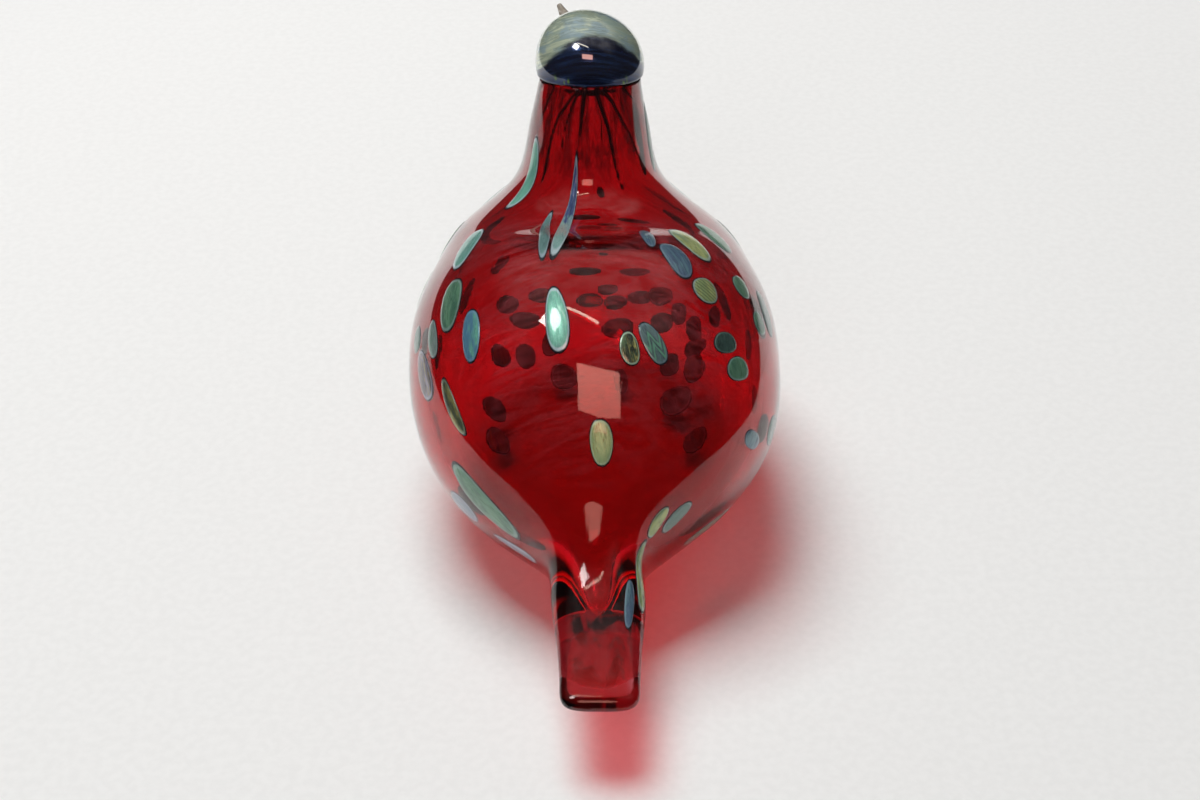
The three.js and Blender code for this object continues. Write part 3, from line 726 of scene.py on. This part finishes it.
# Chips that show from behind and above: station, degrees round from the back towards the bird's left,
# length and width in percent, turn towards the bird's left in degrees, taper towards the neck, and colour
UPPER_SPOTS = [
    (3.3, 55, 140, 95, -5, 0.2, "teal"),
    (4.95, 11, 275, 60, 0, 0.5, "teal"),
    (5.75, 17.5, 185, 55, -10, 0.1, "grey"),
    (6.1, 50, 120, 130, -10, 0, "teal"),
    (7.55, 45, 100, 145, 0, 0, "green"),
    (8, 53, 70, 85, -10, 0, "grey"),
    (8.2, 35, 90, 105, 0, 0, "blue"),
    (8.2, 7, 105, 115, -10, 0.2, "teal"),
    (7.8, 65, 50, 105, -5, 0, "grey"),
    (8.4, 60, 95, 130, -10, 0, "violet"),
    (9, 48, 100, 75, -5, 0, "bronze"),
    (10.1, 66, 160, 140, 10, 0, "green"),
    (9.85, 85, 70, 145, 5, 0, "lilac"),
    (10.6, 91, 100, 70, 0, 0, "lilac"),
    (9.85, -9, 75, 105, -10, 0, "moss"),
    (8.65, -15, 55, 90, -20, 0, "bronze"),
    (8.55, -22, 75, 95, -35, 0, "teal"),
    (6, -19.5, 75, 70, 0, 0, "blue"),
    (6.85, -27.5, 80, 140, -25, 0, "blue"),
    (6.1, -36, 100, 150, -15, 0, "moss"),
    (7.5, -37, 50, 140, -25, 0, "moss"),
    (5.65, -54, 85, 150, -5, 0, "green"),
    (7.15, -53, 45, 125, -30, 0, "green"),
    (7.7, -62, 40, 120, -50, 0, "green"),
    (7.4, -68, 80, 135, -25, 0, "grey"),
    (8.3, -46, 35, 145, -25, 0, "green"),
    (8.6, -53, 40, 145, -35, 0, "green"),
    (9.3, -75, 30, 140, -20, 0, "blue"),
    (8.95, -87, 50, 135, -35, 0, "grey"),
    (10.7, -64, 55, 70, -15, 0, "green"),
    (11.75, -68, 125, 70, 0, 0.2, "moss"),
    (12.45, -39, 80, 50, 5, 0, "blue"),
    (10.5, -74, 65, 80, -10, 0, "grey"),
    (10.1, -112, 110, 100, 0, 0, "green"),
    (2.2, -77, 125, 80, 10, 0, "grey"),
]

# Chips round the breast and the lower flanks
LOWER_SPOTS = [
    (4.6, 103, 95, 85, 0, 0, "teal"),
    (5.6, 85, 95, 100, 0, 0, "green"),
    (6.3, 111, 85, 115, 0, 0, "teal"),
    (7.05, 141, 45, 150, 0, 0, "moss"),
    (7, 152, 53, 120, 0, 0, "green"),
    (6.53, 150, 35, 200, 0, 0, "grey"),
    (7.22, 167, 58, 150, 0, 0, "teal"),
    (7.8, 139, 56, 165, 0, 0, "green"),
    (8.25, 139, 65, 165, 0, 0, "moss"),
    (5.64, 176, 32, 200, 0, 0, "teal"),
    (6.59, -171, 41, 195, 0, 0, "green"),
    (5.67, -160, 30, 190, 0, 0, "grey"),
    (6.17, -150, 42, 180, 0, 0, "teal"),
    (6.55, -152, 39, 165, 0, 0, "green"),
    (6.7, -137, 56, 130, 0, 0, "blue"),
    (7.22, -141.5, 61, 165, 0, 0, "moss"),
    (7.62, -152, 70, 205, 0, 0, "teal"),
    (8.27, -146, 65, 165, 0, 0, "lilac"),
    (6.4, -113, 85, 115, 0, 0, "green"),
    (5.5, -88, 95, 100, 0, 0, "grey"),
    (4.4, -107, 110, 75, 0, 0, "teal"),
]

# Thin flakes that merge with the chips of the breast, and a few more on the flanks
FLAKES = [
    (6.82, 162, 48, 115, 0, 0, "moss"),
    (6.24, -171, 30, 150, 0, 0, "green"),
    (6.21, 178, 30, 160, 0, 0, "teal"),
    (6.04, -174, 26, 125, 0, 0, "grey"),
    (6.18, -160, 30, 150, 0, 0, "grey"),
    (7.12, -152, 46, 140, 0, 0, "green"),
    (6.95, -139, 36, 180, 0, 0, "teal"),
    (6.45, -143, 44, 120, 0, 0, "grey"),
    (7.27, -172, 55, 80, 0, 0, "green"),
    (6.32, 140, 40, 170, 0, 0, "teal"),
    (6.15, 156, 34, 160, 0, 0, "moss"),
    (6.6, -123, 40, 130, 0, 0, "green"),
    (4.6, -172, 40, 60, 0, 0, "grey"),
    (5.4, 125, 80, 100, 0, 0, "grey"),
    (5.2, -131, 85, 100, 0, 0, "teal"),
    (6.7, 79, 75, 100, 0, 0, "moss"),
    (6.6, -86, 72, 105, 0, 0, "blue"),
    (7.3, -102, 60, 120, 0, 0, "moss"),
    (7.4, 99, 75, 105, 0, 0, "teal"),
    (8.2, -103, 65, 100, 0, 0, "lilac"),
    (8.6, 95, 70, 100, 0, 0, "green"),
]
SPOT_LENGTH, SPOT_WIDTH, SPOT_FULLNESS = 18, 6, 0.85
SPOT_PROUD, SPOT_EDGE, SPOT_SUNK = 0.4, -0.15, 0.95
SPOT_ROWS = [0.25, 0.5, 0.7, 0.84, 0.92, 0.965, 0.99]
SPOT_SIDES = 40
SPOT_WOBBLE = (0.035, 0.03)
ANY_PHASE = 6.3  # about a whole turn, in radians
FLAKE_SEEDS, FLAKE_THICKNESS = 100, 0.7


def spot_piece(name, seed, spot, thick=1.0):
    """A chip: a lens of glass that stands a little proud of the skin and is sunk in it."""
    station, around, length, width, turn, taper, _ = spot
    chance = np.random.default_rng(seed)
    angle = np.arange(SPOT_SIDES) * 2 * np.pi / SPOT_SIDES
    wobble = 1 + SPOT_WOBBLE[0] * np.sin(2 * angle + chance.uniform(0, ANY_PHASE))
    wobble = wobble + SPOT_WOBBLE[1] * np.sin(3 * angle + chance.uniform(0, ANY_PHASE))
    along = -np.cos(angle) * wobble * length / 100 * SPOT_LENGTH / 2
    across = np.sign(np.sin(angle)) * np.abs(np.sin(angle)) ** SPOT_FULLNESS
    across = across * wobble * (1 - taper * np.cos(angle)) * width / 100 * SPOT_WIDTH / 2
    rows = np.array([0.0, *SPOT_ROWS, 1.0])
    dome = np.sqrt(1 - rows**4)
    share = np.concatenate([rows, rows[-2::-1]])
    height = SPOT_EDGE + np.concatenate([SPOT_PROUD * dome, -SPOT_SUNK * dome[-2::-1]]) * thick
    far, wide = share[:, None] * along, share[:, None] * across
    heading = math.radians(turn)
    spine = walk(np.full_like(far, station), np.full_like(far, around), heading, far)
    place = walk(*spine, heading + np.pi / 2, wide, 3)
    at = frame_at(*place)
    points = at[0] + at[5] * height[:, None, None]
    rings = len(share) - 2
    flat = np.concatenate([points[1:-1].reshape(-1, 3), points[0, :1], points[-1, :1]])
    faces = tube_faces(rings, SPOT_SIDES)
    faces += fan_faces(rings * SPOT_SIDES, 0, SPOT_SIDES)
    faces += fan_faces(rings * SPOT_SIDES + 1, (rings - 1) * SPOT_SIDES, SPOT_SIDES, True)
    piece = mesh_object(name, flat, faces)
    ridge = np.broadcast_to(share[:, None], far.shape)
    local = np.stack([far, wide, ridge], -1)
    local = np.concatenate([local[1:-1].reshape(-1, 3), local[0, :1], local[-1, :1]])
    piece.data.attributes.new("oval", "FLOAT_VECTOR", "POINT").data.foreach_set("vector", local.ravel())
    own = piece.data.attributes.new("seed", "FLOAT", "POINT")
    own.data.foreach_set("value", np.full(len(flat), chance.uniform()))
    return piece


finishes = {}
for colour, (*shades, extras) in SPOT_FINISHES.items():
    finishes[colour] = lustre(f"spot_{colour}", *(rgb(*shade) for shade in shades), **extras)
for index, spot in enumerate(UPPER_SPOTS + LOWER_SPOTS, 1):
    piece = spot_piece(f"oval_{index:02d}", index, spot)
    give(piece, finishes[CHIP_LOOKS.get(index, spot[-1])], "spot_" + spot[-1], f"spot_{index:02d}")
for index, spot in enumerate(FLAKES, 1):
    piece = spot_piece(f"flake_{index:02d}", FLAKE_SEEDS + index, spot, FLAKE_THICKNESS)
    give(piece, finishes[spot[-1]], "spot_" + spot[-1])


HEAD_WIDTH, HEAD_HEIGHT, HEAD_RISE, HEAD_LEAN, HEAD_RIM_ROUND = 31.6, 19.5, 4.4, 1.6, 1.3
HEAD_SIDES, BEAK_SIDES = 112, 48
PLUG_DEPTH, PLUG_ROUND, PLUG_ROOM, SEAM = 3.5, 1.0, 1.5, 0.3
BEAK_REACH, BEAK_BASE, BEAK_TIP, BEAK_FLARE, BEAK_SUNK = 27, 8.2, 1.8, 1.25, 3
BEAK_SIDE, BEAK_TURN_UP = math.radians(21), math.radians(13)

mouth_up = unit(section_point(0.0, 0.0) - section_point(0.0, 180.0))
mouth = (section_point(0.0, 0.0) + section_point(0.0, 180.0)) / 2
neckward = np.cross((1.0, 0.0, 0.0), mouth_up)


def lathe(name, profile, sides, place):
    """A turned solid from a profile of (radius, height). place puts turned points in the bird."""
    profile = np.array(profile, float)
    angle = np.arange(sides) * 2 * np.pi / sides
    radius, height = profile[1:-1, :1], profile[1:-1, 1:]
    rings = np.stack([radius * np.cos(angle), radius * np.sin(angle), height + 0 * angle], -1)
    local = np.concatenate([rings.reshape(-1, 3), [(0, 0, profile[0, 1]), (0, 0, profile[-1, 1])]])
    count = len(rings)
    faces = tube_faces(count, sides)
    faces += fan_faces(count * sides, 0, sides)
    faces += fan_faces(count * sides + 1, (count - 1) * sides, sides, True)
    piece = mesh_object(name, place(local), faces)
    piece.data.attributes.new("turned", "FLOAT_VECTOR", "POINT").data.foreach_set("vector", local.ravel())
    return piece


def head_place(local):
    """Turned points of the head, in the bird. The crown leans to the bird's left."""
    lean = HEAD_LEAN * np.maximum(local[:, 2] / HEAD_HEIGHT, 0) ** 2
    across = np.outer(local[:, 0] + lean, (1, 0, 0))
    return mouth + across + np.outer(local[:, 1], mouth_up) + np.outer(local[:, 2], neckward)


def arc(radius, height, wide, tall, angles):
    """Points of an oval arc round (radius, height)."""
    return [(radius + wide * math.sin(a), height - tall * math.cos(a)) for a in angles]


def head_profile():
    """The plug in the neck's mouth, the seat over its rim, the rounded rim and the crown."""
    plug = np.linalg.norm(section_point(0.0, 0.0) - mouth) - BUBBLE_DEPTH - SEAM - PLUG_ROOM
    side, crown = HEAD_WIDTH / 2, HEAD_HEIGHT - HEAD_RISE
    rim_angle = math.asin((SEAM + HEAD_RIM_ROUND - HEAD_RISE) / crown)
    rim_side = side * math.cos(rim_angle)
    corner_middle = plug - PLUG_ROUND, PLUG_ROUND - PLUG_DEPTH
    corner = arc(*corner_middle, PLUG_ROUND, PLUG_ROUND, np.linspace(0, np.pi / 2, 5))
    rim_middle = rim_side - HEAD_RIM_ROUND, SEAM + HEAD_RIM_ROUND
    rim = arc(*rim_middle, HEAD_RIM_ROUND, HEAD_RIM_ROUND, np.linspace(0, 1.35, 9))
    dome = arc(0, HEAD_RISE, side, crown, np.pi / 2 + np.linspace(rim_angle, np.pi / 2, 48)[:-1])
    bottom = [(0, -PLUG_DEPTH), (plug / 2, -PLUG_DEPTH)]
    return [*bottom, *corner, (plug, SEAM), *rim, *dome, (0, HEAD_RISE + crown)]


head = lathe("head_cap", head_profile(), HEAD_SIDES, head_place)
give(head, head_finish(), "head_glass", "head_gather")

ahead = np.array([
    math.sin(BEAK_SIDE) * math.cos(BEAK_TURN_UP),
    -math.cos(BEAK_SIDE) * math.cos(BEAK_TURN_UP),
    math.sin(BEAK_TURN_UP),
])
beak_side = unit(np.cross(ahead, (0, 0, 1)))
beak_up = np.cross(beak_side, ahead)


def beak_place(local):
    """Turned points of the beak, in the bird."""
    start = mouth + HEAD_RISE * neckward
    across = np.outer(local[:, 0], beak_side) + np.outer(local[:, 1], beak_up)
    return start + across + np.outer(local[:, 2], ahead)


def beak_profile():
    """A flared cone with a rounded end, from its root inside the head."""
    root, tip = HEAD_WIDTH / 2 - BEAK_SUNK, BEAK_TIP / 2
    flare, length = BEAK_BASE / 2 - tip, BEAK_REACH - tip - root
    cone = [(tip + flare * (1 - s) ** BEAK_FLARE, root + s * length) for s in np.linspace(0, 1, 18)]
    end = arc(0, BEAK_REACH - tip, tip, tip, np.pi / 2 + np.radians([12, 24, 36, 48, 60, 72, 82]))
    return [(0, root), *cone, *end, (0, BEAK_REACH)]


beak = lathe("beak_tip", beak_profile(), BEAK_SIDES, beak_place)
give(beak, beak_finish(), "beak_glass", "beak")


# Table, light and camera

TABLE_HALF, TABLE_SUNK = 3000.0, 0.2
TABLE_COLOURS = (0.84, 0.84, 0.84), (0.87, 0.87, 0.87)
# How far the table shows where glass mirrors it, towards the tail and sideways, and how softly it ends
TABLE_END, TABLE_SIDE, TABLE_SOFT = 210.0, 330.0, 20.0
TABLE_FADES = (300.0, 700.0)  # where the table's own shade gives way to the background's
# A duller wall behind the bird, which shows only through the glass
WALL_AT, WALL_SOFT, WALL_COLOUR = -70.0, 15.0, (0.58, 0.54, 0.51)
BACKDROP = (0.84, 0.84, 0.84)
# The room in mirror images, dark and pale, and through the glass, low down and higher up
UNLIT, MIRRORED_PALE = (0.03, 0.03, 0.033), (0.4, 0.39, 0.38)
THROUGH_LOW, THROUGH_HIGH = (0.5, 0.48, 0.46), (0.15, 0.15, 0.15)
ROOM_LIGHT = (0.05, 0.05, 0.05)


def floor_piece():
    """A plain pale table. It keeps the bird's shadow near the bird, and fades into the background."""
    finish = Finish("table_top")
    place = finish.position()
    grain = finish.noise(place, 0.4, 4.0)
    colour = finish.mix(grain.between(0.3, 0.7), *TABLE_COLOURS)
    surface = finish.node("ShaderNodeBsdfPrincipled", None, {
        "Base Color": colour,
        "Roughness": 0.75,
        "Specular IOR Level": 0.2,
    })
    dark = finish.node("ShaderNodeEmission", None, {"Color": UNLIT})
    wall = finish.node("ShaderNodeEmission", None, {"Color": WALL_COLOUR})
    x, y, _ = finish.parts(place)
    path = finish.node("ShaderNodeLightPath").socket.node.outputs
    glossy, passed = Sum(finish, path["Is Glossy Ray"]), Sum(finish, path["Is Transmission Ray"])
    past_end = y.between(TABLE_END, TABLE_END + TABLE_SOFT)
    past_side = x.size().between(TABLE_SIDE, TABLE_SIDE + TABLE_SOFT)
    ends = glossy * past_end.most(past_side)
    behind = passed * y.between(WALL_AT - WALL_SOFT, WALL_AT, 1.0, 0.0)
    surface = finish.node("ShaderNodeMixShader", None, {0: ends, 1: surface, 2: dark})
    surface = finish.node("ShaderNodeMixShader", None, {0: behind, 1: surface, 2: wall})
    pale = finish.node("ShaderNodeEmission", None, {"Color": BACKDROP})
    far = Sum(finish, path["Is Camera Ray"]) * ((x * x + y * y) ** 0.5).between(*TABLE_FADES)
    surface = finish.node("ShaderNodeMixShader", None, {0: far, 1: surface, 2: pale})
    signs = [(-1, -1), (1, -1), (1, 1), (-1, 1)]
    corners = [(a * TABLE_HALF, b * TABLE_HALF, -TABLE_SUNK) for a, b in signs]
    table = mesh_object("table_top", corners, [(0, 1, 2, 3)], False)
    table.data.materials.append(finish.show(surface))


LAMP_AIM = Vector((0, 0.01, 0.06))


def toward(azimuth, elevation):
    """A direction, by its angle from the tail's side towards +x, and its height."""
    a, e = math.radians(azimuth), math.radians(elevation)
    return Vector((math.sin(a) * math.cos(e), math.cos(a) * math.cos(e), math.sin(e)))


def lamp(name, azimuth, elevation, distance, wide, tall, glow, colour=(1, 1, 1), mirrored=False):
    """A rectangle of light that faces the bird. glow is how bright it looks, where 1 is white.
    A mirrored lamp shows in the glass and lights nothing dull."""
    light = bpy.data.lights.new(name, "AREA")
    light.shape = "RECTANGLE"
    light.size, light.size_y = wide, tall
    light.energy = glow * math.pi * wide * tall
    light.color = colour
    made = bpy.data.objects.new(name, light)
    bpy.context.scene.collection.objects.link(made)
    made.location = LAMP_AIM + toward(azimuth, elevation) * distance
    made.rotation_euler = (-toward(azimuth, elevation)).to_track_quat("-Z", "Y").to_euler()
    made.visible_camera = False
    made.visible_glossy = mirrored
    made.visible_diffuse = not mirrored
    made.visible_transmission = mirrored


def room():
    """The room: pale to the eye. Through the glass it is pale low down and on the tail's side. In
    mirror images it is dark, with a mottled pale stretch over the bird's head."""
    finish = Finish("room", world=True)
    place = finish.node("ShaderNodeTexCoord", None, None, "Generated")
    x, y, z = finish.parts(place)
    mottled = finish.noise(place, 5.0, 4.0, 0.6).between(0.35, 0.65, 0.35, 1.0)
    overhead = z.between(0.45, 0.66) * y.between(0.12, 0.5, 1.0, 0.0)
    stretch = overhead * x.size().between(0.45, 0.85, 1.0, 0.0)
    mirrored = finish.mix(stretch * mottled, UNLIT, MIRRORED_PALE)
    above = z.between(-0.05, 0.4) * y.between(-0.05, 0.3, 1.0, 0.0)
    through = finish.mix(above, THROUGH_LOW, THROUGH_HIGH)
    path = finish.node("ShaderNodeLightPath").socket.node.outputs
    rays = "Is Camera Ray", "Is Glossy Ray", "Is Transmission Ray"
    seen, glossy, passed = (Sum(finish, path[name]) for name in rays)
    colour = finish.mix(passed, ROOM_LIGHT, through)
    colour = finish.mix(glossy, colour, mirrored)
    colour = finish.mix(seen, colour, BACKDROP)
    bpy.context.scene.world = finish.show(finish.node("ShaderNodeBackground", None, {"Color": colour}))


floor_piece()
room()
# Each lamp's angle, height and distance, its width and height, its glow and colour, and whether the
# glass mirrors it
lamp("key", 146, 68, 2.2, 1.25, 1.25, 10.6, (1.0, 0.99, 0.97))
lamp("fill", 10, 24, 2.2, 1.2, 1.2, 1.8, (0.97, 0.99, 1.0))
lamp("window", 4, 45, 1.5, 0.56, 0.28, 3.8, (1.0, 0.5, 0.4), True)
lamp("bulb", 50, 59, 1.5, 0.28, 0.28, 14.0, (1.0, 0.97, 0.94), True)
lamp("ceiling_light", 28, 69, 1.5, 0.6, 0.04, 7.0, (1.0, 0.93, 0.75), True)

CAMERA_ELEVATION, CAMERA_DISTANCE, CAMERA_WIDTH = math.radians(38), 579.3, math.radians(34)
CAMERA_AIM = (-1.85, 15.2, 38.0)
SENSOR_WIDTH = 36

camera_data = bpy.data.cameras.new("camera")
camera_data.sensor_fit = "HORIZONTAL"
camera_data.sensor_width = SENSOR_WIDTH
camera_data.lens = SENSOR_WIDTH / 2 / math.tan(CAMERA_WIDTH / 2)
camera_data.clip_start, camera_data.clip_end = 0.01, 50
camera = bpy.data.objects.new("camera", camera_data)
bpy.context.scene.collection.objects.link(camera)
sight = Vector((0, math.cos(CAMERA_ELEVATION), math.sin(CAMERA_ELEVATION)))
camera.location = (Vector(CAMERA_AIM) + sight * CAMERA_DISTANCE) * MM
camera.rotation_euler = (-sight).to_track_quat("-Z", "Y").to_euler()
bpy.context.scene.camera = camera
bpy.context.scene.view_settings.view_transform = "Standard"
